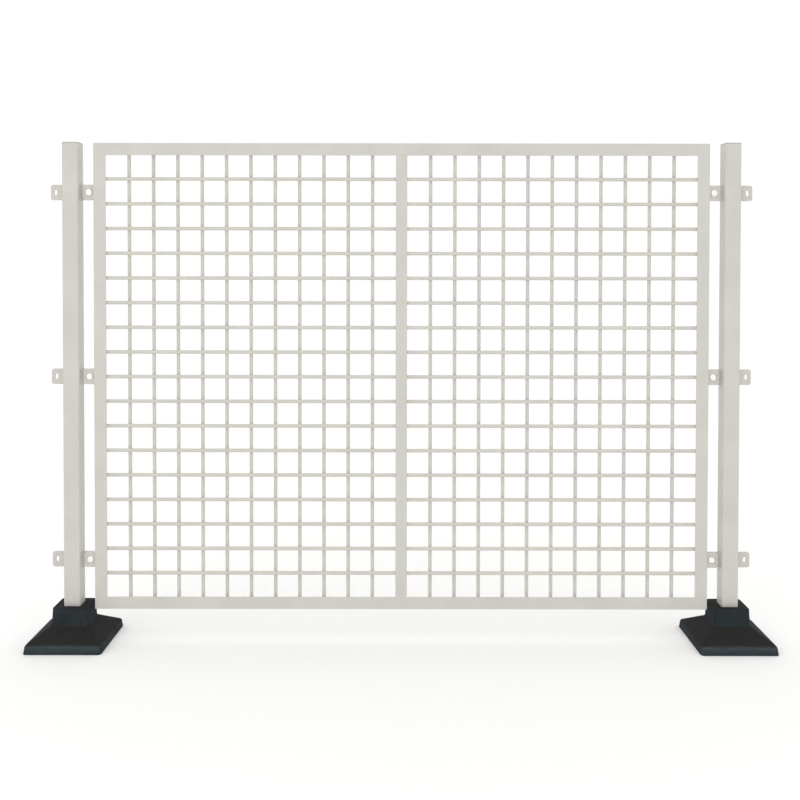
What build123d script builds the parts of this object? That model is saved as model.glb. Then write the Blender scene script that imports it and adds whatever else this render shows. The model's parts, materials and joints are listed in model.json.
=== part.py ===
from build123d import *
from math import cos, pi, radians, tan
import os

# Warehouse partition fence: a framed wire-mesh panel bolted between two square posts,
# each post plugged into a low moulded base.
# Millimetres, +Z up. X runs along the fence and +Y points away from the viewer.
# The origin is on the floor, midway between the posts and in the middle plane of the fence.

# Panel: rolled steel angles with a flange to the viewer, and a flat bar up the middle
PANEL_W = 1500.0
PANEL_H = 1140.0
PANEL_FOOT_Z = 80.0
ANGLE_W = 30.0
ANGLE_T = 3.0
ANGLE_ROOT_R = 4.0
ANGLE_TOE_R = 1.5
CENTRE_BAR_W = 28.0

# Mesh: a mat of welded wires in each bay, its cross wires lapped on the backs of the flanges.
# The overruns are how far the wires run past the last one that they cross.
UPRIGHT_WIRES = 11
CROSS_WIRES = 17
UPRIGHT_OVERRUN = 84.0
CROSS_OVERRUN = 69.0
MAT_EDGE_GAP = 11.0
MAT_MIDDLE_GAP = 4.0
WIRE_D = 9.0
WIRE_SIDES = 10
WIRE_LAYER_GAP = 0.2

# Posts
POST_W = 40.0
POST_WALL = 2.0
POST_CORNER_R = 4.0
POST_GAP = 34.0
POST_RISE = 2.0
CAP_HEAD_H = 4.0
CAP_EDGE_CUT = 1.5
CAP_SKIRT_L = 16.0
CAP_SKIRT_WALL = 2.0
CAP_GAP = 0.2

# Lugs: flat plates in three levels, the panel's in front of the post's
LUG_FROM_END = 120.0
LUG_T = 4.0
LUG_H = 38.0
LUG_CORNER_CUT = 3.5
POST_LUG_END_GAP = 1.0
PANEL_LUG_END_GAP = 6.0
BOLT_FROM_PANEL = 13.0

# Fasteners: cup-head square-neck bolts, large washers and nuts
BOLT_D = 6.0
BOLT_L = 20.0
ROUND_SIDES = 12
HEAD_D = 18.0
HEAD_H = 3.4
HEAD_RIM_H = 0.7
HEAD_SLOPE = 52.0
NECK_OVER_BOLT = 0.4
NECK_GAP = 0.1
NECK_SHORT = 0.4
SLOT_SIDE_PLAY = 1.0
SLOT_TRAVEL = 6.0
WASHER_D = 18.0
WASHER_T = 1.6
WASHER_GAP = 0.2
NUT_ACROSS_FLATS = 10.0
NUT_H = 5.2
THREAD_GAP = 0.1

# Base: a drafted edge, a hip roof rising to a collar, and a ribbed hollow underneath.
# The two drafts are in degrees.
BASE_W = 186.0
BASE_CORNER_R = 8.0
EDGE_H = 18.0
EDGE_DRAFT = 8.0
EDGE_CUT = 1.5
ROOF_TOP_Z = 49.0
ROOF_HIP_R = 16.0
ROOF_OVERRUN = 8.0
COLLAR_W = 86.0
COLLAR_D = 74.0
COLLAR_TOP_Z = 90.0
COLLAR_DRAFT = 2.7
COLLAR_CORNER_R = 10.0
COLLAR_FOOT_R = 9.0
COLLAR_TOP_CUT = 1.5
BASE_WALL = 5.0
SOCKET_GAP = 0.3
SOCKET_FLOOR_Z = 12.0
SOCKET_LEAD_IN = 1.0
RIB_T = 4.0
RIB_LIFT = 1.5

# Places that follow from the sizes above
PANEL_MID_Z = PANEL_FOOT_Z + PANEL_H / 2
UPRIGHT_L = PANEL_H - 2 * ANGLE_T
CROSS_L = (PANEL_W - MAT_MIDDLE_GAP) / 2 - ANGLE_T - MAT_EDGE_GAP
MAT_X = (MAT_MIDDLE_GAP + CROSS_L) / 2
UPRIGHT_PITCH = (CROSS_L - 2 * CROSS_OVERRUN) / (UPRIGHT_WIRES - 1)
CROSS_PITCH = (UPRIGHT_L - 2 * UPRIGHT_OVERRUN) / (CROSS_WIRES - 1)
WIRE_Y = (WIRE_D + WIRE_LAYER_GAP) / 2
WIRE_FLAT = WIRE_D / 2 * cos(pi / WIRE_SIDES)
FRAME_FRONT_Y = -(WIRE_Y + WIRE_FLAT + ANGLE_T)
POST_X = PANEL_W / 2 + POST_GAP + POST_W / 2
POST_TOP_Z = PANEL_FOOT_Z + PANEL_H + POST_RISE
POST_L = POST_TOP_Z - CAP_HEAD_H - SOCKET_FLOOR_Z
LUG_PITCH = PANEL_H / 2 - LUG_FROM_END
POST_LUG_L = POST_GAP - POST_LUG_END_GAP
PANEL_LUG_L = POST_GAP - PANEL_LUG_END_GAP
BOLT_FROM_POST = POST_GAP - BOLT_FROM_PANEL
PANEL_LUG_Y = -LUG_T
LUG_FRONT_Y = PANEL_LUG_Y - LUG_T / 2
LUG_BACK_Y = LUG_T / 2
NECK_W = BOLT_D + NECK_OVER_BOLT
SLOT_W = BOLT_D + SLOT_SIDE_PLAY
SLOT_L = SLOT_W + SLOT_TRAVEL
SOCKET_W = POST_W + 2 * SOCKET_GAP

SIDES = {"left": -1, "right": 1}
LEVELS = {"bottom": -LUG_PITCH, "middle": 0.0, "top": LUG_PITCH}

os.makedirs("parts", exist_ok=True)


def place(piece, name, *spots):
    """Write one node: a copy of the piece at each spot."""
    with BuildPart() as node:
        with Locations(*spots):
            add(piece.part)
    node.part.label = name
    export_step(node.part, f"parts/{name}.step")


def square_tube(width, wall, corner_r):
    """The section of a square tube, drawn in the sketch that is open. Its bore has plain corners."""
    RectangleRounded(width, width, corner_r)
    Rectangle(width - 2 * wall, width - 2 * wall, mode=Mode.SUBTRACT)


# Panel frame: angles mitred at the four corners and a flat bar butted between the rails


def corner_near(section, x, y):
    """The corner of a section that lies closest to a place in it."""
    return section.vertices().sort_by_distance((x, y))[0]


def mitred_angle(length):
    """An angle along X, its leg on the outer side and up, with both ends cut at 45 degrees."""
    with BuildPart() as angle:
        with BuildSketch(Plane.YZ.offset(-length / 2)) as section:
            with Locations((FRAME_FRONT_Y, 0)):
                Rectangle(ANGLE_T, ANGLE_W, align=(Align.MIN, Align.MAX))
                Rectangle(ANGLE_W, ANGLE_T, align=(Align.MIN, Align.MAX))
            flange_back_y = FRAME_FRONT_Y + ANGLE_T
            leg_end_y = FRAME_FRONT_Y + ANGLE_W
            fillet(corner_near(section, flange_back_y, -ANGLE_T), ANGLE_ROOT_R)
            fillet(corner_near(section, flange_back_y, -ANGLE_W), ANGLE_TOE_R)
            fillet(corner_near(section, leg_end_y, -ANGLE_T), ANGLE_TOE_R)
        extrude(amount=length)
        for end in (-1, 1):
            outer_corner = (end * length / 2, 0, 0)
            split(bisect_by=Plane(origin=outer_corner, z_dir=(-end, 0, 1)), keep=Keep.TOP)
    return angle


rail = mitred_angle(PANEL_W)
place(rail, "top_rail", Location((0, 0, PANEL_MID_Z + PANEL_H / 2)))
place(rail, "bottom_rail", Location((0, 0, PANEL_MID_Z - PANEL_H / 2), (0, 180, 0)))

stile = mitred_angle(PANEL_H)
for side, sign in SIDES.items():
    spot = Location((sign * PANEL_W / 2, 0, PANEL_MID_Z), (0, sign * 90, 0))
    place(stile, f"{side}_stile", spot)

with BuildPart() as centre_stile:
    with BuildSketch(Plane.XZ.offset(-FRAME_FRONT_Y)):
        Rectangle(CENTRE_BAR_W, PANEL_H - 2 * ANGLE_W)
    extrude(amount=-ANGLE_T)
place(centre_stile, "centre_stile", (0, 0, PANEL_MID_Z))

# Mesh: cross wires on the backs of the flanges, and upright wires behind them between the rails' legs.
# There are 56 round wires, so each is drawn with few sides, flat towards the viewer.

with BuildPart() as upright_wires:
    with BuildSketch(Plane.XY.offset(-UPRIGHT_L / 2)):
        with Locations((0, WIRE_Y)):
            with GridLocations(UPRIGHT_PITCH, 0, UPRIGHT_WIRES, 1):
                RegularPolygon(WIRE_D / 2, WIRE_SIDES)
    extrude(amount=UPRIGHT_L)

with BuildPart() as cross_wires:
    with BuildSketch(Plane.YZ.offset(-CROSS_L / 2)):
        with Locations((-WIRE_Y, 0)):
            with GridLocations(0, CROSS_PITCH, 1, CROSS_WIRES):
                RegularPolygon(WIRE_D / 2, WIRE_SIDES, rotation=90)
    extrude(amount=CROSS_L)

for side, sign in SIDES.items():
    place(upright_wires, f"{side}_bay_upright_wires", (sign * MAT_X, 0, PANEL_MID_Z))
    place(cross_wires, f"{side}_bay_cross_wires", (sign * MAT_X, 0, PANEL_MID_Z))

# Posts: a square tube that stands on the socket's floor, with a plug in its top

with BuildPart() as post_tube:
    with BuildSketch(Plane.XY.offset(SOCKET_FLOOR_Z)):
        square_tube(POST_W, POST_WALL, POST_CORNER_R)
    extrude(amount=POST_L)

with BuildPart() as post_cap:
    with BuildSketch():
        RectangleRounded(POST_W, POST_W, POST_CORNER_R)
    extrude(amount=CAP_HEAD_H)
    chamfer(post_cap.faces().sort_by(Axis.Z)[-1].edges(), CAP_EDGE_CUT)
    with BuildSketch():
        skirt_w = POST_W - 2 * (POST_WALL + CAP_GAP)
        Rectangle(skirt_w, skirt_w)
        Rectangle(skirt_w - 2 * CAP_SKIRT_WALL, skirt_w - 2 * CAP_SKIRT_WALL, mode=Mode.SUBTRACT)
    extrude(amount=-CAP_SKIRT_L)

for side, sign in SIDES.items():
    place(post_tube, f"{side}_post_tube", (sign * POST_X, 0, 0))
    place(post_cap, f"{side}_post_cap", (sign * POST_X, 0, POST_TOP_Z - CAP_HEAD_H))

# Lugs: both kinds are drawn pointing along +X, with their welded edge at X = 0


def lug_outline(length):
    """A plate's outline with its two free corners cut, in the sketch that is open."""
    outline = Rectangle(length, LUG_H, align=(Align.MIN, Align.CENTER))
    chamfer(outline.vertices().group_by(Axis.X)[-1], LUG_CORNER_CUT)


with BuildPart() as post_lug:
    with BuildSketch(Plane.XZ):
        lug_outline(POST_LUG_L)
        with Locations((BOLT_FROM_POST, 0)):
            SlotOverall(SLOT_L, SLOT_W, rotation=90, mode=Mode.SUBTRACT)
    extrude(amount=LUG_T / 2, both=True)

with BuildPart() as panel_lug:
    with BuildSketch(Plane.XZ):
        lug_outline(PANEL_LUG_L)
        with Locations((BOLT_FROM_PANEL, 0)):
            Rectangle(NECK_W + 2 * NECK_GAP, NECK_W + 2 * NECK_GAP, mode=Mode.SUBTRACT)
    extrude(amount=LUG_T / 2, both=True)

OUTWARD_TURN = {-1: (0, 0, 180), 1: (0, 0, 0)}
for side, sign in SIDES.items():
    outward, inward = OUTWARD_TURN[sign], OUTWARD_TURN[-sign]
    for level, offset_z in LEVELS.items():
        z = PANEL_MID_Z + offset_z
        outer_x = sign * (POST_X + POST_W / 2)
        inner_x = sign * (POST_X - POST_W / 2)
        panel_x = sign * PANEL_W / 2
        place(post_lug, f"{side}_post_outer_lug_{level}", Location((outer_x, 0, z), outward))
        place(post_lug, f"{side}_post_inner_lug_{level}", Location((inner_x, 0, z), inward))
        place(panel_lug, f"{side}_panel_lug_{level}", Location((panel_x, PANEL_LUG_Y, z), outward))

# Fasteners: drawn along Z with the head up, then turned so that the head faces the viewer.
# Their round outlines are drawn with few sides, because they are small and there are six of each.

with BuildPart() as bolt:
    with BuildSketch():
        RegularPolygon(HEAD_D / 2, ROUND_SIDES)
    extrude(amount=HEAD_RIM_H)
    with BuildSketch(Plane.XY.offset(HEAD_RIM_H)):
        RegularPolygon(HEAD_D / 2, ROUND_SIDES)
    extrude(amount=HEAD_H - HEAD_RIM_H, taper=HEAD_SLOPE)
    with BuildSketch():
        RegularPolygon(BOLT_D / 2, ROUND_SIDES)
    extrude(amount=-BOLT_L)
    with BuildSketch():
        Rectangle(NECK_W, NECK_W)
    extrude(amount=-(LUG_T - NECK_SHORT))

with BuildPart() as washer:
    with BuildSketch():
        RegularPolygon(WASHER_D / 2, ROUND_SIDES)
        RegularPolygon(BOLT_D / 2 + WASHER_GAP, ROUND_SIDES, major_radius=False, mode=Mode.SUBTRACT)
    extrude(amount=-WASHER_T)

with BuildPart() as nut:
    with BuildSketch():
        RegularPolygon(NUT_ACROSS_FLATS / 2, 6, major_radius=False)
        RegularPolygon(BOLT_D / 2 + THREAD_GAP, ROUND_SIDES, major_radius=False, mode=Mode.SUBTRACT)
    extrude(amount=-NUT_H)


def bolt_spots(sign, y):
    """Where the three bolts of one side cross the plane at y, each facing the viewer."""
    x = sign * (PANEL_W / 2 + BOLT_FROM_PANEL)
    levels = [PANEL_MID_Z + offset_z for offset_z in LEVELS.values()]
    return [Plane(origin=(x, y, z), x_dir=(1, 0, 0), z_dir=(0, -1, 0)) for z in levels]


for side, sign in SIDES.items():
    place(bolt, f"{side}_bolts", *bolt_spots(sign, LUG_FRONT_Y))
    place(washer, f"{side}_washers", *bolt_spots(sign, LUG_BACK_Y))
    place(nut, f"{side}_nuts", *bolt_spots(sign, LUG_BACK_Y + WASHER_T))

# Base: the same form twice, as the outside and, drawn in by the wall, as the hollow


def gable(edge_half, edge_top_z, foot_half, roof_top_z):
    """A triangle whose slopes pass the edge's top and the collar's foot, in the sketch that is open."""
    slope = (roof_top_z - edge_top_z) / (edge_half - foot_half)
    reach = edge_half + edge_top_z / slope
    Polygon((-reach, 0), (reach, 0), (0, slope * reach), align=None)


def hip_form(shrink, edge_top_z, roof_top_z, collar_top_z):
    """A drafted block under a hip roof, with a drafted collar, drawn in by shrink on every side."""
    edge_half = BASE_W / 2 - shrink - edge_top_z * tan(radians(EDGE_DRAFT))
    collar_l = collar_top_z - edge_top_z
    spread = collar_l * tan(radians(COLLAR_DRAFT)) - shrink
    foot_grow = (collar_top_z - roof_top_z) * tan(radians(COLLAR_DRAFT)) - shrink
    with BuildPart() as form:
        with BuildSketch():
            Rectangle(BASE_W - 2 * shrink, BASE_W - 2 * shrink)
        extrude(amount=roof_top_z + ROOF_OVERRUN, taper=EDGE_DRAFT)
        with BuildSketch(Plane.XZ):
            gable(edge_half, edge_top_z, COLLAR_W / 2 + foot_grow, roof_top_z)
        extrude(amount=BASE_W, both=True, mode=Mode.INTERSECT)
        with BuildSketch(Plane.YZ):
            gable(edge_half, edge_top_z, COLLAR_D / 2 + foot_grow, roof_top_z)
        extrude(amount=BASE_W, both=True, mode=Mode.INTERSECT)
        with BuildSketch(Plane.XY.offset(edge_top_z)):
            Rectangle(COLLAR_W + 2 * spread, COLLAR_D + 2 * spread)
        extrude(amount=collar_l, taper=COLLAR_DRAFT)
    return form


def edges_near(piece, z):
    """The edges of a piece whose middle is close to the height z."""
    return piece.edges().filter_by_position(Axis.Z, z - EDGE_CUT, z + EDGE_CUT)


outside = hip_form(0, EDGE_H, ROOF_TOP_Z, COLLAR_TOP_Z)
inside = hip_form(BASE_WALL, EDGE_H - BASE_WALL, ROOF_TOP_Z - BASE_WALL, COLLAR_TOP_Z - BASE_WALL)
boss_w = SOCKET_W + 2 * BASE_WALL

# The hollow is what the ribs and the socket's boss leave of the inner form
with BuildPart() as hollow:
    add(inside.part)
    with BuildSketch(Plane.XY.offset(RIB_LIFT)):
        Rectangle(boss_w, boss_w)
        for turn in (0, 45, 90, 135):
            Rectangle(2 * BASE_W, RIB_T, rotation=turn)
    extrude(amount=COLLAR_TOP_Z, mode=Mode.SUBTRACT)

with BuildPart() as base:
    add(outside.part)
    fillet(edges_near(base, EDGE_H / 2), BASE_CORNER_R)
    fillet(edges_near(base, (EDGE_H + ROOF_TOP_Z) / 2), ROOF_HIP_R)
    fillet(edges_near(base, (ROOF_TOP_Z + COLLAR_TOP_Z) / 2), COLLAR_CORNER_R)
    fillet(edges_near(base, ROOF_TOP_Z), COLLAR_FOOT_R)
    chamfer(edges_near(base, EDGE_H), EDGE_CUT)
    chamfer(base.faces().sort_by(Axis.Z)[-1].edges(), COLLAR_TOP_CUT)
    add(hollow.part, mode=Mode.SUBTRACT)
    with BuildSketch(Plane.XY.offset(SOCKET_FLOOR_Z)):
        RectangleRounded(SOCKET_W, SOCKET_W, POST_CORNER_R)
    extrude(amount=COLLAR_TOP_Z - SOCKET_FLOOR_Z, mode=Mode.SUBTRACT)
    mouth = base.faces().filter_by(Axis.Z).sort_by(Axis.Z)[-1].inner_wires().edges()
    chamfer(mouth, SOCKET_LEAD_IN)
    with BuildSketch():
        Rectangle(SOCKET_W, SOCKET_W)
    extrude(amount=SOCKET_FLOOR_Z - BASE_WALL, mode=Mode.SUBTRACT)

for side, sign in SIDES.items():
    place(base, f"{side}_base", (sign * POST_X, 0, 0))
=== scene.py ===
# %% [markdown]
# # A warehouse partition fence
#
# The fence is one framed panel of welded wire, bolted between two square posts, and each post
# stands in a low black moulded base. The CAD model already has every part at its true size and
# place, so this lesson only adds what CAD leaves out: round wires with their welds, plates with
# rounded corners, real bolts and nuts, moulded caps, and finishes that look like powder coat,
# zinc and moulded plastic.

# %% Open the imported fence
import json
import math

import bmesh
import bpy
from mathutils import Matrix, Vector


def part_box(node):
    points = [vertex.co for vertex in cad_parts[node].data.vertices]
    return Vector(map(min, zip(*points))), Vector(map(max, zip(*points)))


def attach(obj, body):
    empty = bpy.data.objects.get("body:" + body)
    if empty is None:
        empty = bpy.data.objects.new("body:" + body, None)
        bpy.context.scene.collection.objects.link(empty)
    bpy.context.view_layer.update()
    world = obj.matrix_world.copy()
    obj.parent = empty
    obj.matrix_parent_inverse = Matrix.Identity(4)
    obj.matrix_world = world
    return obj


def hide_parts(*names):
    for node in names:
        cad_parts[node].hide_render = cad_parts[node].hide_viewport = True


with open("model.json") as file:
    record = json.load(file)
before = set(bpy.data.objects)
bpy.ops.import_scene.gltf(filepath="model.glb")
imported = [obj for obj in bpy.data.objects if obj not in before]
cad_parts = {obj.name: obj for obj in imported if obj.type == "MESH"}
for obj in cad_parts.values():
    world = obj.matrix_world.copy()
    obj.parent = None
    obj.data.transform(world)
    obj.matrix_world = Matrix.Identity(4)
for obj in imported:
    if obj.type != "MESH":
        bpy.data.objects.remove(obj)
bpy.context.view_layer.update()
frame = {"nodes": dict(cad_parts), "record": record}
nodes = frame["nodes"]

# %% [markdown]
# ## The camera
#
# The photograph was taken almost square on, from a little under a metre up. Its upright lines
# stay nearly parallel, so the camera is almost level and the picture is shifted down instead of
# tilted. A plain tilted camera would make the posts lean, so this one uses the lens shift.

# %% Camera
CAMERA_DOWN = math.radians(1.05)
CAMERA_ROLL = math.radians(-0.08)
bpy.ops.object.select_all(action="DESELECT")
bpy.ops.object.camera_add(
    location=(0.001, -2.2836, 0.9307),
    rotation=(math.pi / 2 - CAMERA_DOWN, CAMERA_ROLL, 0),
)
camera = bpy.context.object
camera.name = "camera"
camera.data.sensor_width = 36.0
camera.data.lens = 41.97
camera.data.shift_x = -0.0024
camera.data.shift_y = -0.1508
camera.data.dof.use_dof = False
bpy.context.scene.camera = camera
print("camera at", [round(value, 3) for value in camera.location])

# %% [markdown]
# ## Light and floor
#
# The photograph is a catalogue picture on white, with soft light from all round and a little
# more from the front and the left. Several lamps could be set up round the fence, but a white
# world gives the even light at once. It is hardly brighter than white, since a brighter one would
# eat into the edges of the thin wires. One large light far away gives the direction, and because
# it is far, the right side of the fence is lit as well as the left. The plain view transform
# keeps white at white. The floor lies a hair under the bases, so their faces don't coincide.

# %% Light
scene = bpy.context.scene
scene.view_settings.view_transform = "Standard"
scene.world = bpy.data.worlds.new("white_studio")
scene.world.use_nodes = True
studio = scene.world.node_tree.nodes["Background"]
studio.inputs["Color"].default_value = (1.0, 1.0, 1.0, 1.0)
studio.inputs["Strength"].default_value = 1.04

bpy.ops.object.light_add(type="AREA", location=(-4.2, -7.0, 4.0))
key = bpy.context.object
key.name = "key_light"
key.data.shape = "DISK"
key.data.size = 4.0
key.data.energy = 45.0
aim = Vector((0, 0, 0.6)) - key.location
key.rotation_euler = aim.to_track_quat("-Z", "Y").to_euler()
print(f"white world, and an area light {aim.length:.1f} m away")

# %% Floor
MM = 0.001
FLOOR_GAP = 0.2 * MM
bpy.ops.object.select_all(action="DESELECT")
bpy.ops.mesh.primitive_plane_add(size=30, location=(0, 0, -FLOOR_GAP))
floor = bpy.context.object
floor.name = "floor"
print("floor:", [round(value) for value in floor.dimensions[:2]], "m")

# %% [markdown]
# ## Finishes
#
# Colours are written as the hex values that a picture editor shows, and Blender works in linear
# light, so one function turns one into the other. A second one adds a shader node with its
# settings and its links, which keeps each finish below short enough to read. Most sockets go by
# name. Those of the Math and Mix nodes share their names, so they go by number.

# %% Helpers for finishes
VALUE_1, VALUE_2 = 0, 1
COLOUR_A, COLOUR_B, MIXED = 6, 7, 2


def linear(hex_colour):
    """A hex colour as linear red, green, blue and alpha."""
    parts = [int(hex_colour[i : i + 2], 16) / 255 for i in (1, 3, 5)]
    return [p / 12.92 if p <= 0.04045 else ((p + 0.055) / 1.055) ** 2.4 for p in parts] + [1.0]


def add_node(tree, kind, inputs, **settings):
    """Add a shader node. Its inputs are numbers, colours or the sockets that feed them."""
    made = tree.nodes.new(kind)
    for name, value in settings.items():
        setattr(made, name, value)
    for name, value in inputs.items():
        if isinstance(value, bpy.types.NodeSocket):
            tree.links.new(value, made.inputs[name])
        else:
            made.inputs[name].default_value = value
    return made


def start_finish(name):
    """A new material: its node tree, its shader and the object coordinates, in metres."""
    material = bpy.data.materials.new(name)
    material.use_nodes = True
    tree = material.node_tree
    place = add_node(tree, "ShaderNodeTexCoord", {}).outputs["Object"]
    return material, tree, tree.nodes["Principled BSDF"], place


# %% [markdown]
# ### Powder coat
#
# The frame, wires, posts and lugs are steel with a pale grey powder coat: a baked polyester film,
# half matt, with a faint orange-peel ripple. The film is a plastic, so it isn't metallic. Real
# ripple is 1 to 2 mm across, finer than a pixel here, so it is drawn at 4 mm to show at all. The
# film is never quite even in thickness, so its tone drifts a little, in patches a hand wide down
# to single specks. On the thin wires it has baked a shade creamier than on the frame, so the coat
# is a function that makes both.


# %% Powder coat
def powder_coat(name, thin_film, thick_film):
    """Powder coat whose tone drifts between two hex colours."""
    coat, tree, shader, place = start_finish(name)
    film = add_node(
        tree,
        "ShaderNodeTexNoise",
        {"Vector": place, "Scale": 1 / (90 * MM), "Detail": 7.0, "Roughness": 0.6},
    )
    drift = add_node(
        tree,
        "ShaderNodeMapRange",
        {
            "Value": film.outputs["Fac"],
            "From Min": 0.3,
            "From Max": 0.7,
            "To Min": 0.12,
            "To Max": 0.63,
        },
    )
    peel = add_node(
        tree,
        "ShaderNodeTexNoise",
        {"Vector": place, "Scale": 1 / (4 * MM), "Detail": 2.0},
    )
    pores = add_node(
        tree,
        "ShaderNodeMapRange",
        {"Value": peel.outputs["Fac"], "From Min": 0.35, "From Max": 0.65, "To Max": 0.25},
    )
    tone = add_node(
        tree,
        "ShaderNodeMath",
        {VALUE_1: drift.outputs["Result"], VALUE_2: pores.outputs["Result"]},
        operation="ADD",
    )
    colour = add_node(
        tree,
        "ShaderNodeMix",
        {
            "Factor": tone.outputs["Value"],
            COLOUR_A: linear(thin_film),
            COLOUR_B: linear(thick_film),
        },
        data_type="RGBA",
    )
    gloss = add_node(
        tree,
        "ShaderNodeMapRange",
        {"Value": peel.outputs["Fac"], "To Min": 0.38, "To Max": 0.5},
    )
    ripple = add_node(
        tree,
        "ShaderNodeBump",
        {"Height": peel.outputs["Fac"], "Strength": 0.4, "Distance": 0.3 * MM},
    )
    tree.links.new(colour.outputs[MIXED], shader.inputs["Base Color"])
    tree.links.new(gloss.outputs["Result"], shader.inputs["Roughness"])
    tree.links.new(ripple.outputs["Normal"], shader.inputs["Normal"])
    shader.inputs["IOR"].default_value = 1.5
    print("finish:", coat.name)
    return coat


frame_coat = powder_coat("powder_coated_steel", "#c1bfb8", "#d1cec7")
wire_coat = powder_coat("powder_coated_wire", "#c3c0b8", "#d4d1c8")

# %% [markdown]
# ### Moulded base plastic
#
# The bases are black polypropylene, injection moulded in a spark-eroded tool, so the surface is a
# fine dull grain that scatters the light, with slow cloudy flow marks. The grain is about 0.5 mm
# and is drawn at 2 mm to show. On every face that doesn't look up, the black is tinted blue as a
# painted reflection of cool light from the front. On the faces that look up, a film of warm dust
# settles in specks in place of that tint, so those are a more neutral grey. Brooms and trolleys
# that pass along the fence scuff the front and back rims in long streaks, and the streaks carry a
# painted highlight as well, palest at the rim's upper edge, 18 mm up, where the rounded edge
# catches the light. Such marks could be painted on by hand. Here they follow the surface normal
# and the height, so both bases get them in the right places.

# %% Moulded base plastic
black_plastic, tree, shader, place = start_finish("moulded_black_polypropylene")
flow = add_node(
    tree,
    "ShaderNodeTexNoise",
    {"Vector": place, "Scale": 1 / (60 * MM), "Detail": 7.0, "Roughness": 0.6},
)
marks = add_node(
    tree,
    "ShaderNodeMapRange",
    {"Value": flow.outputs["Fac"], "From Min": 0.3, "From Max": 0.7, "To Max": 0.55},
)
grain = add_node(
    tree,
    "ShaderNodeTexNoise",
    {"Vector": place, "Scale": 1 / (2 * MM), "Detail": 3.0},
)
specks = add_node(
    tree,
    "ShaderNodeMapRange",
    {"Value": grain.outputs["Fac"], "From Min": 0.3, "From Max": 0.7},
)
peaks = add_node(
    tree,
    "ShaderNodeMath",
    {VALUE_1: specks.outputs["Result"], VALUE_2: 0.45},
    operation="MULTIPLY",
)
relief = add_node(
    tree,
    "ShaderNodeMath",
    {VALUE_1: marks.outputs["Result"], VALUE_2: peaks.outputs["Value"]},
    operation="ADD",
)
# The plastic's black, tinted blue as a painted reflection of cool light from the front.
bare_and_painted_reflection = add_node(
    tree,
    "ShaderNodeMix",
    {
        "Factor": relief.outputs["Value"],
        COLOUR_A: linear("#22262a"),
        COLOUR_B: linear("#373e41"),
    },
    data_type="RGBA",
)
print("finish:", black_plastic.name)

# %% Dust, and a painted bluish reflection on the bases
surface = add_node(tree, "ShaderNodeTexCoord", {})
facing = add_node(tree, "ShaderNodeSeparateXYZ", {"Vector": surface.outputs["Normal"]})
# Where the surface looks up, neutral dust specks take the place of the painted bluish reflection.
dust_over_painted_reflection = add_node(
    tree,
    "ShaderNodeMapRange",
    {"Value": facing.outputs["Z"], "From Min": 0.3, "From Max": 0.85, "To Max": 0.8},
)
dust = add_node(
    tree,
    "ShaderNodeMix",
    {
        "Factor": specks.outputs["Result"],
        COLOUR_A: linear("#1d1c1b"),
        COLOUR_B: linear("#32302e"),
    },
    data_type="RGBA",
)
dust_and_painted_reflection = add_node(
    tree,
    "ShaderNodeMix",
    {
        "Factor": dust_over_painted_reflection.outputs["Result"],
        COLOUR_A: bare_and_painted_reflection.outputs[MIXED],
        COLOUR_B: dust.outputs[MIXED],
    },
    data_type="RGBA",
)
print("dust: where the surface looks up")

# %% Rubbed rims, with a painted highlight
BASE_RIM_H = 18 * MM
RUB_AND_HIGHLIGHT_FROM = 4 * MM
RUB_AND_HIGHLIGHT_FADE = 4 * MM
# Front and back rims get scuff streaks together with a painted highlight, palest at the rim's
# upper edge.
position = add_node(tree, "ShaderNodeSeparateXYZ", {"Vector": place})
rising = add_node(
    tree,
    "ShaderNodeMapRange",
    {
        "Value": position.outputs["Z"],
        "From Min": RUB_AND_HIGHLIGHT_FROM,
        "From Max": BASE_RIM_H,
        "To Min": 0.25,
    },
)
ending = add_node(
    tree,
    "ShaderNodeMapRange",
    {
        "Value": position.outputs["Z"],
        "From Min": BASE_RIM_H,
        "From Max": BASE_RIM_H + RUB_AND_HIGHLIGHT_FADE,
        "To Min": 1.0,
        "To Max": 0.0,
    },
)
sideways = add_node(
    tree,
    "ShaderNodeMath",
    {VALUE_1: facing.outputs["Y"]},
    operation="ABSOLUTE",
)
along = add_node(
    tree,
    "ShaderNodeMapRange",
    {"Value": sideways.outputs["Value"], "From Min": 0.1, "From Max": 0.7},
)
stretched = add_node(tree, "ShaderNodeMapping", {"Vector": place, "Scale": (0.08, 1, 1)})
scrape = add_node(
    tree,
    "ShaderNodeTexNoise",
    {"Vector": stretched.outputs["Vector"], "Scale": 1 / (2.5 * MM), "Detail": 3.0},
)
streaks = add_node(
    tree,
    "ShaderNodeMapRange",
    {"Value": scrape.outputs["Fac"], "From Min": 0.35, "From Max": 0.65, "To Min": 0.45},
)
rub_and_painted_highlight = rising.outputs["Result"]
for limit in (ending, along, streaks):
    limited = add_node(
        tree,
        "ShaderNodeMath",
        {VALUE_1: rub_and_painted_highlight, VALUE_2: limit.outputs["Result"]},
        operation="MULTIPLY",
    )
    rub_and_painted_highlight = limited.outputs["Value"]
print(f"rub: on the front and back rims, up to {BASE_RIM_H / MM:.0f} mm")

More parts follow.
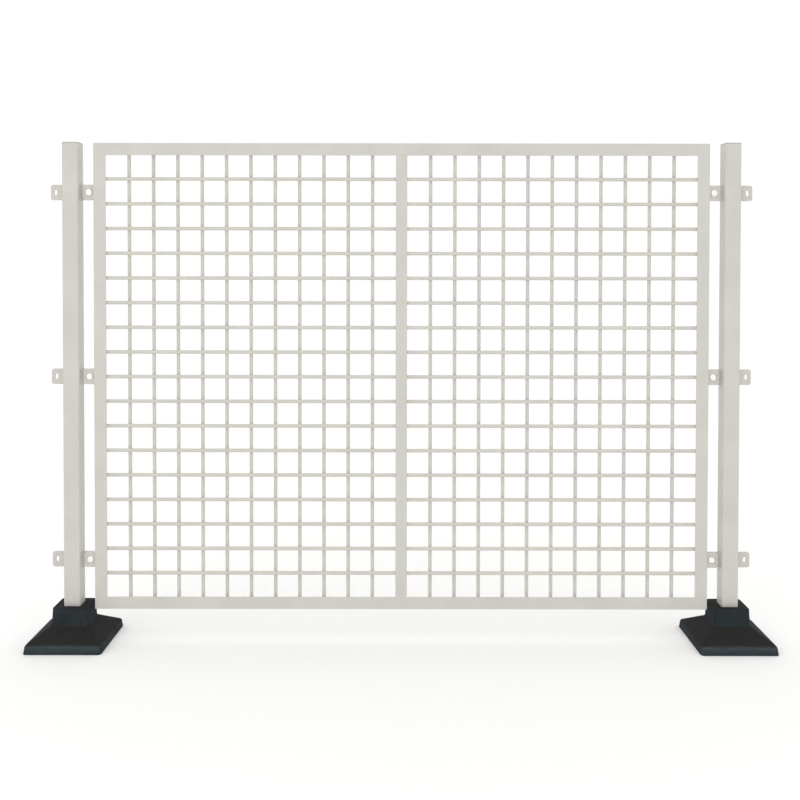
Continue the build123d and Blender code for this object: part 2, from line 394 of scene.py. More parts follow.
# %% Colour, gloss and grain of the bases
# The pale blue is scuffed plastic together with a painted highlight where the rim catches the
# front light.
colour = add_node(
    tree,
    "ShaderNodeMix",
    {"Factor": rub_and_painted_highlight, COLOUR_A: dust_and_painted_reflection.outputs[MIXED], COLOUR_B: linear("#444d51")},
    data_type="RGBA",
)
gloss = add_node(
    tree,
    "ShaderNodeMapRange",
    {"Value": flow.outputs["Fac"], "To Min": 0.7, "To Max": 0.82},
)
grit = add_node(
    tree,
    "ShaderNodeBump",
    {"Height": grain.outputs["Fac"], "Strength": 0.35, "Distance": 0.3 * MM},
)
tree.links.new(colour.outputs[MIXED], shader.inputs["Base Color"])
tree.links.new(gloss.outputs["Result"], shader.inputs["Roughness"])
tree.links.new(grit.outputs["Normal"], shader.inputs["Normal"])
shader.inputs["IOR"].default_value = 1.49
shader.inputs["Specular IOR Level"].default_value = 0.06
print(f"{black_plastic.name}: {len(tree.nodes)} nodes")

# %% [markdown]
# ### Cap plastic
#
# The post caps are pale grey polyethylene, a soft plastic with a dull waxy face. It is a touch
# darker than the powder coat, which is how the photograph tells the two apart. The colour is
# nearly even, so a faint mottle and a fine bump are enough to take away the look of a flat fill.

# %% Cap plastic
cap_plastic, tree, shader, place = start_finish("moulded_grey_polyethylene")
mottle = add_node(
    tree,
    "ShaderNodeTexNoise",
    {"Vector": place, "Scale": 1 / (12 * MM), "Detail": 3.0},
)
colour = add_node(
    tree,
    "ShaderNodeMix",
    {
        "Factor": mottle.outputs["Fac"],
        COLOUR_A: linear("#b0aea9"),
        COLOUR_B: linear("#b8b6b0"),
    },
    data_type="RGBA",
)
skin = add_node(
    tree,
    "ShaderNodeTexNoise",
    {"Vector": place, "Scale": 1 / (1.5 * MM), "Detail": 2.0},
)
waxy = add_node(
    tree,
    "ShaderNodeBump",
    {"Height": skin.outputs["Fac"], "Strength": 0.2, "Distance": 0.2 * MM},
)
tree.links.new(colour.outputs[MIXED], shader.inputs["Base Color"])
tree.links.new(waxy.outputs["Normal"], shader.inputs["Normal"])
shader.inputs["Roughness"].default_value = 0.55
shader.inputs["IOR"].default_value = 1.51
print("finish:", cap_plastic.name)

# %% [markdown]
# ### Bright zinc
#
# The bolts, washers and nuts are steel with a bright zinc plating. Fresh zinc mirrors the white
# room softly, so the bolt heads look nearly white, and the plating bath leaves faint cloudy
# patches a few millimetres across. A metal shows little but what it mirrors, so the patches vary
# its roughness as well as its colour.

# %% Bright zinc
bright_zinc, tree, shader, place = start_finish("bright_zinc_plated_steel")
bath = add_node(
    tree,
    "ShaderNodeTexNoise",
    {"Vector": place, "Scale": 1 / (4 * MM), "Detail": 3.0},
)
colour = add_node(
    tree,
    "ShaderNodeMix",
    {"Factor": bath.outputs["Fac"], COLOUR_A: linear("#eeeff0"), COLOUR_B: linear("#f8f9fa")},
    data_type="RGBA",
)
gloss = add_node(
    tree,
    "ShaderNodeMapRange",
    {"Value": bath.outputs["Fac"], "To Min": 0.22, "To Max": 0.4},
)
tree.links.new(colour.outputs[MIXED], shader.inputs["Base Color"])
tree.links.new(gloss.outputs["Result"], shader.inputs["Roughness"])
shader.inputs["Metallic"].default_value = 1.0
print("finish:", bright_zinc.name)

# %% [markdown]
# ### The floor's finish, and the CAD parts
#
# The floor is a plain pale sheet. Every CAD part gets the finish of the material slot that the
# record gives it, also the ones that a modelled piece stands for further down.

# %% Floor and CAD finishes
pale_floor, tree, shader, place = start_finish("pale_matt_floor")
shader.inputs["Base Color"].default_value = linear("#fdfdfc")
shader.inputs["Roughness"].default_value = 0.9
floor.data.materials.append(pale_floor)

FINISHES = {
    "paint": frame_coat,
    "base_plastic": black_plastic,
    "cap_plastic": cap_plastic,
    "zinc": bright_zinc,
}
for row in frame["record"]["subparts"]:
    node = nodes[row["node"]]
    node.data.materials.clear()
    node.data.materials.append(FINISHES[row["material_slot"]])

# %% [markdown]
# ## Tools for modelling
#
# Each piece below is shaped by the operators that a modeller uses by hand. An operator works on
# what is selected, so the first tool selects vertices, edges or faces by a test on their place.
# The others open and close edit mode, apply a modifier, and hand a finished piece over to its
# body. Finished pieces sit at the origin with their place in the mesh, as the CAD nodes do.

# %% Tools for edit mode
SELECT_MODES = {"verts": "VERT", "edges": "EDGE", "faces": "FACE"}
NEAR = 0.01 * MM


def pick(kind, test):
    """In edit mode, select the verts, edges or faces that pass the test."""
    bpy.ops.mesh.select_mode(type=SELECT_MODES[kind])
    bpy.ops.mesh.select_all(action="DESELECT")
    mesh = bmesh.from_edit_mesh(bpy.context.object.data)
    for element in getattr(mesh, kind):
        if test(element):
            element.select_set(True)
    bmesh.update_edit_mesh(bpy.context.object.data)


def start_shaping(name):
    """Name the active piece, and open it in edit mode with all of it selected."""
    piece = bpy.context.object
    piece.name = name
    bpy.ops.object.mode_set(mode="EDIT")
    bpy.ops.mesh.select_mode(type="VERT")
    bpy.ops.mesh.select_all(action="SELECT")
    return piece


def settle():
    """Put the place, turn and scale of what is selected into its mesh."""
    bpy.ops.object.transform_apply(location=True, rotation=True, scale=True)


def end_shaping(smooth_below):
    """Leave edit mode, settle the piece, and shade edges below that many degrees as round."""
    bpy.ops.object.mode_set(mode="OBJECT")
    settle()
    bpy.ops.object.shade_smooth_by_angle(angle=math.radians(smooth_below))


# %% Tools for whole pieces
def select_only(piece):
    """Select one piece and make it the active one."""
    bpy.ops.object.select_all(action="DESELECT")
    piece.select_set(True)
    bpy.context.view_layer.objects.active = piece


def apply_modifier(piece, kind, **settings):
    """Add a modifier with its settings, and apply it."""
    modifier = piece.modifiers.new(kind.lower(), kind)
    for name, value in settings.items():
        setattr(modifier, name, value)
    bpy.context.view_layer.objects.active = piece
    bpy.ops.object.modifier_apply(modifier=modifier.name)


def hand_over(piece, body, slot, *stands_for, finish=None):
    """Give a piece its finish and its body, and hide the CAD nodes that it stands for."""
    piece.data.materials.clear()
    piece.data.materials.append(finish or FINISHES[slot])
    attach(piece, body)
    if stands_for:
        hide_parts(*stands_for)
    triangles = sum(len(face.vertices) - 2 for face in piece.data.polygons)
    print(f"{piece.name}: {triangles} triangles, on {body}")


# %% [markdown]
# ## The frame
#
# The frame is rolled steel angle, mitred at the corners. One flange faces the viewer and the
# other leg runs back round the outside, and a flat bar stands in the middle. Rolled steel has no
# knife edges. The CAD members have the right section, so each is copied, and a bevel rounds its
# long sharp edges, which then catch the light. The edges of the mitres stay sharp, because there
# the two members are welded and ground to one face.


# %% A skin from the CAD
def skin_of(node_name, name):
    """Copy a CAD node's mesh as a new piece, merged into whole faces, and open it to edit."""
    skin = bpy.data.objects.new(name, nodes[node_name].data.copy())
    scene.collection.objects.link(skin)
    select_only(skin)
    start_shaping(name)
    bpy.ops.mesh.remove_doubles(threshold=NEAR)
    bpy.ops.mesh.dissolve_limited(angle_limit=math.radians(0.5))
    return skin


def keep_flats_flat(piece):
    """Let the large faces rule the shading, so that only the rounded edges look round."""
    apply_modifier(piece, "WEIGHTED_NORMAL", keep_sharp=True, weight=80)


# %% Frame members
STEEL_EDGE_R = 0.6 * MM
LONG_EDGE = 500 * MM
SHARP_ANGLE = math.radians(40)
FRAME = {
    "top_rail": "top_angle",
    "bottom_rail": "bottom_angle",
    "left_stile": "left_angle",
    "right_stile": "right_angle",
    "centre_stile": "centre_flat_bar",
}


def is_long_and_sharp(edge):
    """Whether an edge runs along a member and two of its faces meet there at a clear angle."""
    return edge.calc_length() > LONG_EDGE and edge.calc_face_angle(0) > SHARP_ANGLE


for node_name, name in FRAME.items():
    member = skin_of(node_name, name)
    pick("edges", is_long_and_sharp)
    bpy.ops.mesh.bevel(offset=STEEL_EDGE_R, segments=3, affect="EDGES")
    end_shaping(smooth_below=35)
    keep_flats_flat(member)
    hand_over(member, "panel", "paint", node_name)

# %% [markdown]
# ## The posts
#
# The posts are square tube with rounded corners. A cube could be bevelled and hollowed for each,
# but the CAD tubes are right in size and their corners are already round. Their mesh only needs
# to be merged into one skin and shaded, so that the corners look rolled and not faceted.

# %% Posts
SIDES = {"left": -1, "right": 1}
for side in SIDES:
    node_name = f"{side}_post_tube"
    post = skin_of(node_name, f"{side}_square_post")
    end_shaping(smooth_below=35)
    keep_flats_flat(post)
    hand_over(post, f"{side}_post", "paint", node_name)

# %% [markdown]
# ## The wires
#
# Each bay holds a mat of 9 mm rod: 17 cross wires that are lapped on the backs of the flanges,
# and 11 upright wires behind them that end on the legs of the rails. A curve with a round bevel
# would give plain rods. Here one rod is a cylinder, cut close to each end by bisect, and its last
# rings are scaled. An upright widens into the collar of weld that it leaves on the leg, and a
# cross wire narrows to the dull edge that a shear leaves. An array then makes the row, so the
# wires stay exactly spaced.

# %% One rod
WIRE_D = 9 * MM
WIRE_SIDES = 20
WELD_COLLAR = ((3.2 * MM, 1.0), (1.2 * MM, 1.12), (0.0, 1.24))
SHEARED_END = ((0.6 * MM, 1.0), (0.2 * MM, 0.96), (0.0, 0.88))


def rod_along_z(name, length, end_rings):
    """A round rod, centred on the origin. An end ring is an inset from the end and a scale."""
    bpy.ops.object.select_all(action="DESELECT")
    bpy.ops.mesh.primitive_cylinder_add(vertices=WIRE_SIDES, radius=WIRE_D / 2, depth=length)
    rod = start_shaping(name)
    for end in (-1, 1):
        for inset, swell in end_rings:
            z = end * (length / 2 - inset)
            bpy.ops.mesh.select_all(action="SELECT")
            if inset:
                bpy.ops.mesh.bisect(plane_co=(0, 0, z), plane_no=(0, 0, 1))
            pick("verts", lambda vert: abs(vert.co.z - z) < NEAR)
            bpy.ops.transform.resize(value=(swell, swell, 1), center_override=(0, 0, z))
    end_shaping(smooth_below=40)
    return rod


# %% Rows of wires
UPRIGHTS = 11
CROSSES = 17


def repeat(piece, count, step):
    """Repeat a piece's mesh in a row, each copy one step on."""
    apply_modifier(
        piece,
        "ARRAY",
        count=count,
        use_relative_offset=False,
        use_constant_offset=True,
        constant_offset_displace=step,
    )


lowest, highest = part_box("left_bay_upright_wires")
column_pitch = (highest.x - lowest.x - WIRE_D) / (UPRIGHTS - 1)
first_column = -column_pitch * (UPRIGHTS - 1) / 2
uprights = rod_along_z("uprights", highest.z - lowest.z, WELD_COLLAR)
uprights.location.x = first_column
repeat(uprights, UPRIGHTS, (column_pitch, 0, 0))
settle()

lowest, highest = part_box("left_bay_cross_wires")
row_pitch = (highest.z - lowest.z - WIRE_D) / (CROSSES - 1)
first_row = -row_pitch * (CROSSES - 1) / 2
crosses = rod_along_z("crosses", highest.x - lowest.x, SHEARED_END)
crosses.rotation_euler.y = math.pi / 2
settle()
crosses.location.z = first_row
repeat(crosses, CROSSES, (0, 0, row_pitch))
settle()
print(f"wires every {column_pitch / MM:.2f} mm across and {row_pitch / MM:.2f} mm up")


# %% Copies of a pattern
def copy_to(pattern, name, places):
    """Copy a pattern to each place, a spot and a turn about Z, and join the copies."""
    copies = []
    for spot, turn in places:
        select_only(pattern)
        bpy.ops.object.duplicate()
        copy = bpy.context.object
        copy.location = spot
        copy.rotation_euler = (0, 0, turn)
        copies.append(copy)
    bpy.ops.object.select_all(action="DESELECT")
    for copy in copies:
        copy.select_set(True)
    bpy.context.view_layer.objects.active = copies[0]
    if len(copies) > 1:
        bpy.ops.object.join()
    settle()
    copies[0].name = name
    return copies[0]


def middle(node_name):
    """The middle of a CAD node's box."""
    lowest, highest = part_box(node_name)
    return (lowest + highest) / 2


# %% Wires in both bays
for side in SIDES:
    for kind, pattern in (("upright", uprights), ("cross", crosses)):
        node_name = f"{side}_bay_{kind}_wires"
        wires = copy_to(pattern, f"{side}_bay_{kind}_rods", [(middle(node_name), 0)])
        hand_over(wires, "panel", "paint", node_name, finish=wire_coat)
for pattern in (uprights, crosses):
    bpy.data.objects.remove(pattern)

# %% [markdown]
# ## The crossing welds
#
# Where two wires cross, a spot welder has pressed and melted them together, and a little metal is
# squeezed out round the joint. There are 374 crossings, so each weld has few faces: a short
# eight-sided barrel between the wires, made wider in the middle. A ball would need far more faces
# to look as round. The barrel's ends are inside the wires.

# %% Crossing welds
CROSSING_R = 2.8 * MM
CROSSING_L = 3.8 * MM
CROSSING_SWELL = 1.4

bpy.ops.object.select_all(action="DESELECT")
bpy.ops.mesh.primitive_cylinder_add(vertices=8, radius=CROSSING_R, depth=CROSSING_L)
welds = start_shaping("welds")
bpy.ops.mesh.bisect(plane_co=(0, 0, 0), plane_no=(0, 0, 1))
pick("verts", lambda vert: abs(vert.co.z) < NEAR)
bpy.ops.transform.resize(
    value=(CROSSING_SWELL, CROSSING_SWELL, 1),
    center_override=(0, 0, 0),
)
end_shaping(smooth_below=60)
welds.rotation_euler.x = math.pi / 2
settle()
welds.location = (first_column, 0, first_row)
repeat(welds, UPRIGHTS, (column_pitch, 0, 0))
repeat(welds, CROSSES, (0, 0, row_pitch))
settle()

for side in SIDES:
    spot = middle(f"{side}_bay_upright_wires")
    spot.y = 0
    crossings = copy_to(welds, f"{side}_bay_crossing_welds", [(spot, 0)])
    hand_over(crossings, "panel", "paint", finish=wire_coat)
bpy.data.objects.remove(welds)

# %% [markdown]
# ## The lugs
#
# The lugs are flat plates, cut from 4 mm steel. A plate on a post has an upright slot, so the
# next section can be set a little higher or lower, and a plate on the panel has a square hole
# that stops the bolt from turning. The CAD plates have cut corners. Here a cube is shaped to the
# plate, its two free corners are bevelled round, the hole is cut by a boolean, and a small bevel
# breaks all the edges.

# %% Plates
LUG_CORNER_R = 6 * MM
LUG_EDGE_R = 0.4 * MM


def plate(name, node_name):
    """A plate of a CAD lug's size, along +X from its welded edge, with round free corners."""
    lowest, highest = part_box(node_name)
    size = highest - lowest
    bpy.ops.object.select_all(action="DESELECT")
    bpy.ops.mesh.primitive_cube_add(size=1)
    made = start_shaping(name)
    bpy.ops.transform.resize(value=size)
    bpy.ops.transform.translate(value=(size.x / 2, 0, 0))
    pick(
        "edges",
        lambda edge: all(v.co.x > size.x / 2 for v in edge.verts)
        and abs(edge.verts[0].co.y - edge.verts[1].co.y) > size.y / 2,
    )
    bpy.ops.mesh.bevel(offset=LUG_CORNER_R, segments=7, affect="EDGES")
    end_shaping(smooth_below=30)
    return made


# %% Holes in plates
def combine(piece, tool, operation):
    """Unite a piece with a tool, or cut it by the tool, and throw the tool away."""
    apply_modifier(piece, "BOOLEAN", operation=operation, solver="EXACT", object=tool)
    bpy.data.objects.remove(tool)


def size_mm(piece):
    """A piece's size in millimetres."""
    return [round(value / MM, 2) for value in piece.dimensions]


def cut_plate(made, tool):
    """Cut a hole in a plate by a tool, and break the plate's sharp edges."""
    combine(made, tool, "DIFFERENCE")
    apply_modifier(
        made,
        "BEVEL",
        width=LUG_EDGE_R,
        segments=2,
        limit_method="ANGLE",
        angle_limit=SHARP_ANGLE,
    )
    select_only(made)
    bpy.ops.object.shade_smooth_by_angle(angle=math.radians(30))
    print(f"{made.name}:", size_mm(made))


# %% Post lug with its slot
SLOT_W = 7 * MM
SLOT_L = 13 * MM
SLOT_SIDES = 28
BOLT_FROM_POST = 21 * MM

post_lug = plate("post_lug", "right_post_outer_lug_top")
bpy.ops.object.select_all(action="DESELECT")
bpy.ops.mesh.primitive_cylinder_add(vertices=SLOT_SIDES, radius=SLOT_W / 2, depth=20 * MM)
slot_tool = start_shaping("slot_tool")
bpy.ops.transform.rotate(
    value=math.pi / SLOT_SIDES,
    orient_axis="Z",
    center_override=(0, 0, 0),
)
for end in (-1, 1):
    pick("verts", lambda vert: vert.co.y * end > 0)
    bpy.ops.transform.translate(value=(0, end * (SLOT_L - SLOT_W) / 2, 0))
end_shaping(smooth_below=30)
slot_tool.rotation_euler.x = math.pi / 2
slot_tool.location.x = BOLT_FROM_POST
settle()
cut_plate(post_lug, slot_tool)

# %% Panel lug with its square hole
NECK_HOLE = 6.6 * MM
BOLT_FROM_PANEL = 13 * MM

panel_lug = plate("panel_lug", "right_panel_lug_top")
bpy.ops.object.select_all(action="DESELECT")
bpy.ops.mesh.primitive_cube_add(size=NECK_HOLE, location=(BOLT_FROM_PANEL, 0, 0))
hole_tool = start_shaping("hole_tool")
bpy.ops.transform.resize(value=(1, 3, 1))
end_shaping(smooth_below=30)
cut_plate(panel_lug, hole_tool)

# %% Lugs in their places
LEVELS = ("bottom", "middle", "top")


def lug_place(node_name, points):
    """Where a CAD lug's welded edge is, and the turn that points a plate along +X or -X."""
    lowest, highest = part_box(node_name)
    spot = (lowest + highest) / 2
    spot.x = lowest.x if points > 0 else highest.x
    return spot, 0 if points > 0 else math.pi


panel_names = []
panel_places = []
for side, sign in SIDES.items():
    outer_names = [f"{side}_post_outer_lug_{level}" for level in LEVELS]
    inner_names = [f"{side}_post_inner_lug_{level}" for level in LEVELS]
    places = [lug_place(name, sign) for name in outer_names]
    places += [lug_place(name, -sign) for name in inner_names]
    lugs = copy_to(post_lug, f"{side}_post_lugs", places)
    hand_over(lugs, f"{side}_post", "paint", *outer_names, *inner_names)
    names = [f"{side}_panel_lug_{level}" for level in LEVELS]
    panel_names += names
    panel_places += [lug_place(name, sign) for name in names]
lugs = copy_to(panel_lug, "panel_lugs", panel_places)
hand_over(lugs, "panel", "paint", *panel_names)
for pattern in (post_lug, panel_lug):
    bpy.data.objects.remove(pattern)

# %% [markdown]
# ## Weld beads
#
# A welder lays a bead in overlapping drops, so it is rippled and thin at its ends. A plain bar
# would look like a rod that was glued on. One function makes a bead of any size: a small disc is
# extruded step by step, and each new ring is scaled, up for a drop and down between two drops.
# The bead's middle is put on the corner of the joint, so only a quarter of it shows, as a real
# fillet weld does.

# %% A bead
# These four are shares of the bead's own radius.
DROP_PITCH = 1.25
DROP_RIPPLE = 0.07
TAPER_L = 1.7
TIP_R = 0.35


def bead_radius(z, radius, length):
    """How thick a bead is at a height: drops a little longer than its radius, and thin ends."""
    drops = 1 - DROP_RIPPLE + DROP_RIPPLE * math.cos(2 * math.pi * z / (DROP_PITCH * radius))
    from_end = min(1.0, (length / 2 - abs(z)) / (TAPER_L * radius))
    return radius * drops * (TIP_R + (1 - TIP_R) * math.sqrt(max(from_end, 0)))


def weld_bead(name, radius, length, steps, sides):
    """A rippled bead along Z, centred on the origin."""
    rings = [length * (step / steps - 0.5) for step in range(steps + 1)]
    sizes = [bead_radius(z, radius, length) for z in rings]
    bpy.ops.object.select_all(action="DESELECT")
    bpy.ops.mesh.primitive_circle_add(
        vertices=sides,
        radius=sizes[0],
        fill_type="NGON",
        location=(0, 0, rings[0]),
    )
    bead = start_shaping(name)
    for i in range(steps):
        rise = (0, 0, rings[i + 1] - rings[i])
        growth = sizes[i + 1] / sizes[i]
        bpy.ops.mesh.extrude_region_move(TRANSFORM_OT_translate={"value": rise})
        bpy.ops.transform.resize(
            value=(growth, growth, 1),
            center_override=(0, 0, rings[i + 1]),
        )
    bpy.ops.mesh.select_all(action="SELECT")
    bpy.ops.mesh.normals_make_consistent(inside=False)
    end_shaping(smooth_below=70)
    print(f"{name}:", size_mm(bead), len(bead.data.polygons), "faces")
    return bead


def lay_along(bead, axis):
    """Turn an upright bead so that it runs along X or Y."""
    if axis == "X":
        bead.rotation_euler.y = math.pi / 2
    else:
        bead.rotation_euler.x = math.pi / 2
    settle()


# %% [markdown]
# ### Welds of the frame
#
# The front of the frame is ground smooth, and the welds are at the back. A bead runs back in each
# inside corner, where two legs meet, and another crosses each end of the centre bar. Every cross
# wire has a short bead above and below it where it lies on a flange. Those repeat many times, so
# their beads have few faces.

# %% Corner and centre bar welds
ANGLE_T = 3 * MM
CORNER_BEAD_BEHIND = 15 * MM
panel_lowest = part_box("bottom_rail")[0]
panel_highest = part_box("top_rail")[1]
flange_back = panel_lowest.y + ANGLE_T

corner_bead = weld_bead("corner_bead", radius=2.6 * MM, length=22 * MM, steps=22, sides=12)
lay_along(corner_bead, "Y")
places = []
for x in (panel_lowest.x + ANGLE_T, panel_highest.x - ANGLE_T):
    for z in (panel_lowest.z + ANGLE_T, panel_highest.z - ANGLE_T):
        places.append((Vector((x, flange_back + CORNER_BEAD_BEHIND, z)), 0))
hand_over(copy_to(corner_bead, "frame_corner_welds", places), "panel", "paint")

bar_lowest, bar_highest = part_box("centre_stile")
bar_bead = weld_bead("bar_bead", radius=1.8 * MM, length=25 * MM, steps=25, sides=12)
lay_along(bar_bead, "X")
places = [(Vector((0, flange_back, z)), 0) for z in (bar_lowest.z, bar_highest.z)]
hand_over(copy_to(bar_bead, "centre_bar_welds", places), "panel", "paint")
for pattern in (corner_bead, bar_bead):
    bpy.data.objects.remove(pattern)

# %% Lap welds of the cross wires
LAP_BEAD_L = 10 * MM
LAP_BEAD_OFF = 3.4 * MM
LAP_BEAD_BEHIND = 0.4 * MM
LAP_BEAD_FROM_END = 1 * MM + LAP_BEAD_L / 2

lap_beads = weld_bead("lap_beads", radius=2.0 * MM, length=LAP_BEAD_L, steps=6, sides=8)
lay_along(lap_beads, "X")
lap_beads.location.z = first_row - LAP_BEAD_OFF
repeat(lap_beads, 2, (0, 0, 2 * LAP_BEAD_OFF))
repeat(lap_beads, CROSSES, (0, 0, row_pitch))
settle()
for side in SIDES:
    node_name = f"{side}_bay_cross_wires"
    lowest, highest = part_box(node_name)
    spot = middle(node_name)
    spot.y = flange_back + LAP_BEAD_BEHIND
    places = []
    for x in (lowest.x + LAP_BEAD_FROM_END, highest.x - LAP_BEAD_FROM_END):
        places.append((Vector((x, spot.y, spot.z)), 0))
    hand_over(copy_to(lap_beads, f"{side}_bay_lap_welds", places), "panel", "paint")
bpy.data.objects.remove(lap_beads)

# %% [markdown]
# ### Welds of the lugs
#
# A lug on a post has a bead on both sides. A lug on the panel has one only in front, since the
# post's lug closes the corner behind it.

# %% Lug welds
lug_bead = weld_bead("lug_bead", radius=1.8 * MM, length=36 * MM, steps=48, sides=12)
panel_places = []
for side, sign in SIDES.items():
    places = []
    for level in LEVELS:
        for name, points in (("outer", sign), ("inner", -sign)):
            node_name = f"{side}_post_{name}_lug_{level}"
            lowest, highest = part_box(node_name)
            spot = lug_place(node_name, points)[0]
            places += [(Vector((spot.x, y, spot.z)), 0) for y in (lowest.y, highest.y)]
        node_name = f"{side}_panel_lug_{level}"
        spot = lug_place(node_name, sign)[0]
        spot.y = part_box(node_name)[0].y
        panel_places.append((spot, 0))
    hand_over(copy_to(lug_bead, f"{side}_post_lug_welds", places), f"{side}_post", "paint")
hand_over(copy_to(lug_bead, "panel_lug_welds", panel_places), "panel", "paint")
bpy.data.objects.remove(lug_bead)

# %% [markdown]
# ## The bolts
#
# Each joint has a cup-head bolt with a square neck, a wide washer and a nut. Bolt and washer are
# turned shapes: an outline is drawn point by point on one side of an axis and spun round it. The
# head is a flat cup that bends down only near its rim, so nearly all of it mirrors the white
# room. The thread is a stack of rings, not a helix, since at this size nobody can tell. The
# square neck is a small cube that is united with the bolt.


# %% A turned shape
def turned(name, outline, steps):
    """Spin an outline of (radius, height) points, in millimetres, about the Z axis."""
    points = [Vector((radius * MM, 0, height * MM)) for radius, height in outline]
    bpy.ops.object.select_all(action="DESELECT")
    bpy.ops.mesh.primitive_plane_add(size=1 * MM)
    piece = start_shaping(name)
    bpy.ops.mesh.merge(type="CENTER")
    bpy.ops.transform.translate(value=points[0])
    for start, end in zip(points, points[1:]):
        bpy.ops.mesh.extrude_vertices_move(TRANSFORM_OT_translate={"value": end - start})
    bpy.ops.mesh.select_all(action="SELECT")
    bpy.ops.mesh.spin(steps=steps, angle=2 * math.pi, center=(0, 0, 0), axis=(0, 0, 1))
    bpy.ops.mesh.select_all(action="SELECT")
    bpy.ops.mesh.remove_doubles(threshold=0.001 * MM)
    bpy.ops.mesh.normals_make_consistent(inside=False)
    end_shaping(smooth_below=35)
    return piece


def face_the_front(piece):
    """Turn a piece that was made with its top up so that its top faces the viewer."""
    select_only(piece)
    piece.rotation_euler.x = math.pi / 2
    settle()
    print(f"{piece.name}:", size_mm(piece))


# %% Bolt
# These are in millimetres, as an outline's points are.
HEAD_R = 9.0
HEAD_H = 3.4
HEAD_RIM_H = 0.7
HEAD_EDGE = 0.2
CUP_STEPS = 12
BOLT_L = 20.0
SHANK_R = 2.95
ROOT_R = 2.45
POINT_R = 1.9
POINT_L = 0.6
PLAIN_L = 4.0
THREAD_FROM = 4.3
THREAD_PITCH = 1.0
THREAD_TURNS = 15

outline = []
for step in range(CUP_STEPS + 1):
    share = math.sin(math.pi / 2 * step / CUP_STEPS)
    outline.append((HEAD_R * share, HEAD_H - (HEAD_H - HEAD_RIM_H) * share**6))
outline += [(HEAD_R, HEAD_EDGE), (HEAD_R - HEAD_EDGE, 0), (SHANK_R, 0), (SHANK_R, -PLAIN_L)]
for turn in range(THREAD_TURNS):
    crest = -THREAD_FROM - turn * THREAD_PITCH
    outline += [(SHANK_R, crest), (ROOT_R, crest - THREAD_PITCH / 2)]
outline += [(ROOT_R, POINT_L - BOLT_L), (POINT_R, -BOLT_L), (0, -BOLT_L)]
bolt = turned("bolt", outline, steps=28)

# %% Square neck
NECK_W = 6.4 * MM
NECK_L = 3.6 * MM
NECK_SINK = 0.1 * MM
NECK_EDGE_R = 0.5 * MM

bpy.ops.object.select_all(action="DESELECT")
bpy.ops.mesh.primitive_cube_add(size=NECK_W, location=(0, 0, NECK_SINK - NECK_L / 2))
neck = start_shaping("neck")
bpy.ops.transform.resize(value=(1, 1, NECK_L / NECK_W))
pick("edges", lambda edge: abs(edge.verts[0].co.z - edge.verts[1].co.z) > NECK_L / 2)
bpy.ops.mesh.bevel(offset=NECK_EDGE_R, segments=3, affect="EDGES")
end_shaping(smooth_below=30)
combine(bolt, neck, "UNION")
face_the_front(bolt)

# %% [markdown]
# The washer is an outline that closes on itself, so it spins into a ring. Its front edge is
# rounder than the others, as punching leaves it. The nut starts as a six-sided cylinder. On a
# real one a lathe has cut its corners to a cone at both faces, and the same cut is made here by
# keeping only what lies inside a turned disc with sloped edges. A turned tool with flared ends
# then bores it. Booleans leave slivers, so the close points are merged and flat faces joined.

# %% Washer
WASHER_R = 9.0
WASHER_HOLE_R = 3.2
WASHER_T = 1.6
PUNCHED_EDGE = 0.3
BROKEN_EDGE = 0.2
washer_outline = [
    (WASHER_HOLE_R, -BROKEN_EDGE),
    (WASHER_HOLE_R + BROKEN_EDGE, 0),
    (WASHER_R - PUNCHED_EDGE, 0),
    (WASHER_R, -PUNCHED_EDGE),
    (WASHER_R, BROKEN_EDGE - WASHER_T),
    (WASHER_R - BROKEN_EDGE, -WASHER_T),
    (WASHER_HOLE_R + BROKEN_EDGE, -WASHER_T),
    (WASHER_HOLE_R, BROKEN_EDGE - WASHER_T),
]
washer = turned("washer", washer_outline + washer_outline[:1], steps=36)
face_the_front(washer)

# %% Nut
NUT_W = 10.0
NUT_H = 5.2
CORNER_CONE = [(0, 0.5), (3.82, 0.5), (6.2, -0.85)]
FLARED_BORE = [(0, 1), (4.2, 1), (3.1, -0.5)]
SLIVER = 0.02 * MM


def both_faces(slope):
    """An outline that has a slope at the nut's front face and the same one at its back."""
    return slope + [(radius, -NUT_H - height) for radius, height in reversed(slope)]


bpy.ops.object.select_all(action="DESELECT")
bpy.ops.mesh.primitive_cylinder_add(
    vertices=6,
    radius=NUT_W / 2 / math.cos(math.pi / 6) * MM,
    depth=NUT_H * MM,
    location=(0, 0, -NUT_H / 2 * MM),
)
nut = start_shaping("nut")
end_shaping(smooth_below=20)
combine(nut, turned("cone", both_faces(CORNER_CONE), steps=36), "INTERSECT")
combine(nut, turned("bore", both_faces(FLARED_BORE), steps=28), "DIFFERENCE")
select_only(nut)
start_shaping("nut")
bpy.ops.mesh.remove_doubles(threshold=SLIVER)
bpy.ops.mesh.dissolve_limited(angle_limit=math.radians(1))
end_shaping(smooth_below=25)
face_the_front(nut)

# %% Fasteners in their places
for kind, pattern in (("bolts", bolt), ("washers", washer), ("nuts", nut)):
    for side in SIDES:
        node_name = f"{side}_{kind}"
        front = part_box(node_name)[0].y
        if kind == "bolts":
            front += HEAD_H * MM
        places = []
        for level in LEVELS:
            spot = middle(f"{side}_panel_lug_{level}")
            spot.x = middle(node_name).x
            spot.y = front
            places.append((spot, 0))
        fasteners = copy_to(pattern, f"{side}_joint_{kind}", places)
        hand_over(fasteners, "panel", "zinc", node_name)
    bpy.data.objects.remove(pattern)

# %% [markdown]
# ## The caps
#
# A moulded plug closes the top of each post. Its head is as wide as the post, with the post's
# rounded corners, a soft edge and a slightly crowned top, and under it a plug grips the inside of
# the tube. A cube is flattened to the head, its upright edges and its top edges are bevelled, the
# top is inset and raised, and the underside is inset and extruded down for the plug.

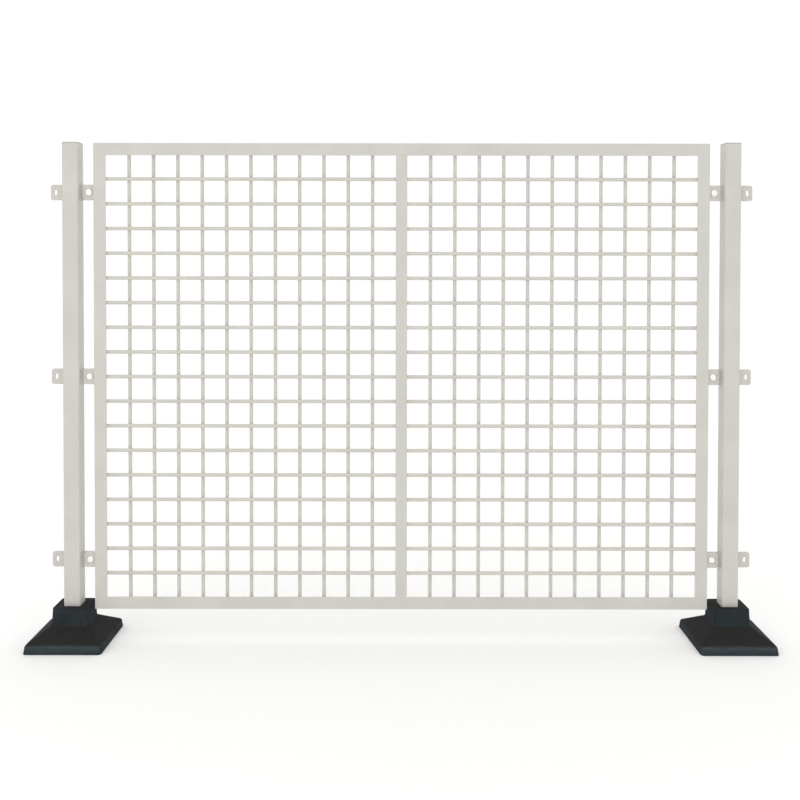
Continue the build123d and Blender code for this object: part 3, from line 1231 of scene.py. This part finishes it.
# %% Head of the cap
CAP_W = 40 * MM
CAP_RIM_H = 3.6 * MM
CAP_CORNER_R = 4 * MM
CAP_EDGE_R = 1.6 * MM
CROWN_INSET = 1.2 * MM
CROWN_H = 0.4 * MM
# Each step is a share of the crown's height and how much its ring shrinks.
CROWN_STEPS = ((0.55, 0.72), (0.3, 0.6), (0.15, 0.4))

bpy.ops.object.select_all(action="DESELECT")
bpy.ops.mesh.primitive_cube_add(size=CAP_W)
cap = start_shaping("cap")
bpy.ops.transform.resize(value=(1, 1, CAP_RIM_H / CAP_W))
bpy.ops.transform.translate(value=(0, 0, CAP_RIM_H / 2))
pick("edges", lambda edge: abs(edge.verts[0].co.z - edge.verts[1].co.z) > CAP_RIM_H / 2)
bpy.ops.mesh.bevel(offset=CAP_CORNER_R, segments=6, affect="EDGES")
pick("edges", lambda edge: all(v.co.z > CAP_RIM_H / 2 for v in edge.verts))
bpy.ops.mesh.bevel(offset=CAP_EDGE_R, segments=4, affect="EDGES")
pick("faces", lambda face: face.normal.z > 0.99)
bpy.ops.mesh.inset(thickness=CROWN_INSET)
for share, shrink in CROWN_STEPS:
    rise = (0, 0, share * CROWN_H)
    bpy.ops.mesh.extrude_region_move(TRANSFORM_OT_translate={"value": rise})
    bpy.ops.transform.resize(value=(shrink, shrink, 1), center_override=(0, 0, CAP_RIM_H))
print(f"cap head: {(CAP_RIM_H + CROWN_H) / MM:.1f} mm high")

# %% Plug of the cap
PLUG_L = 16 * MM
PLUG_INSET = 2.3 * MM
PLUG_LEAD_L = 2 * MM
PLUG_LEAD = 0.95

pick("faces", lambda face: face.normal.z < -0.99)
bpy.ops.mesh.inset(thickness=PLUG_INSET)
for length in (PLUG_L - PLUG_LEAD_L, PLUG_LEAD_L):
    bpy.ops.mesh.extrude_region_move(TRANSFORM_OT_translate={"value": (0, 0, -length)})
bpy.ops.transform.resize(value=(PLUG_LEAD, PLUG_LEAD, 1), center_override=(0, 0, -PLUG_L))
end_shaping(smooth_below=35)
print("cap:", size_mm(cap))

for side in SIDES:
    node_name = f"{side}_post_cap"
    spot = middle(node_name)
    spot.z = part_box(node_name)[0].z + PLUG_L
    plug_cap = copy_to(cap, f"{side}_plug_cap", [(spot, 0)])
    hand_over(plug_cap, f"{side}_post", "cap_plastic", node_name)
bpy.data.objects.remove(cap)

# %% [markdown]
# ## The bases
#
# The CAD base has the right form: a low hip roof, a collar round the post, and ribs and a socket
# underneath. Its mesh is loose flat triangles, so the rounded edges would look faceted close up.
# A copy of that mesh is merged into one skin and shaded smooth, and the weighted normals keep its
# large flat faces flat.

# %% Bases
for side in SIDES:
    node_name = f"{side}_base"
    base = skin_of(node_name, f"{side}_moulded_base")
    end_shaping(smooth_below=30)
    keep_flats_flat(base)
    hand_over(base, f"{side}_foot", "base_plastic", node_name)
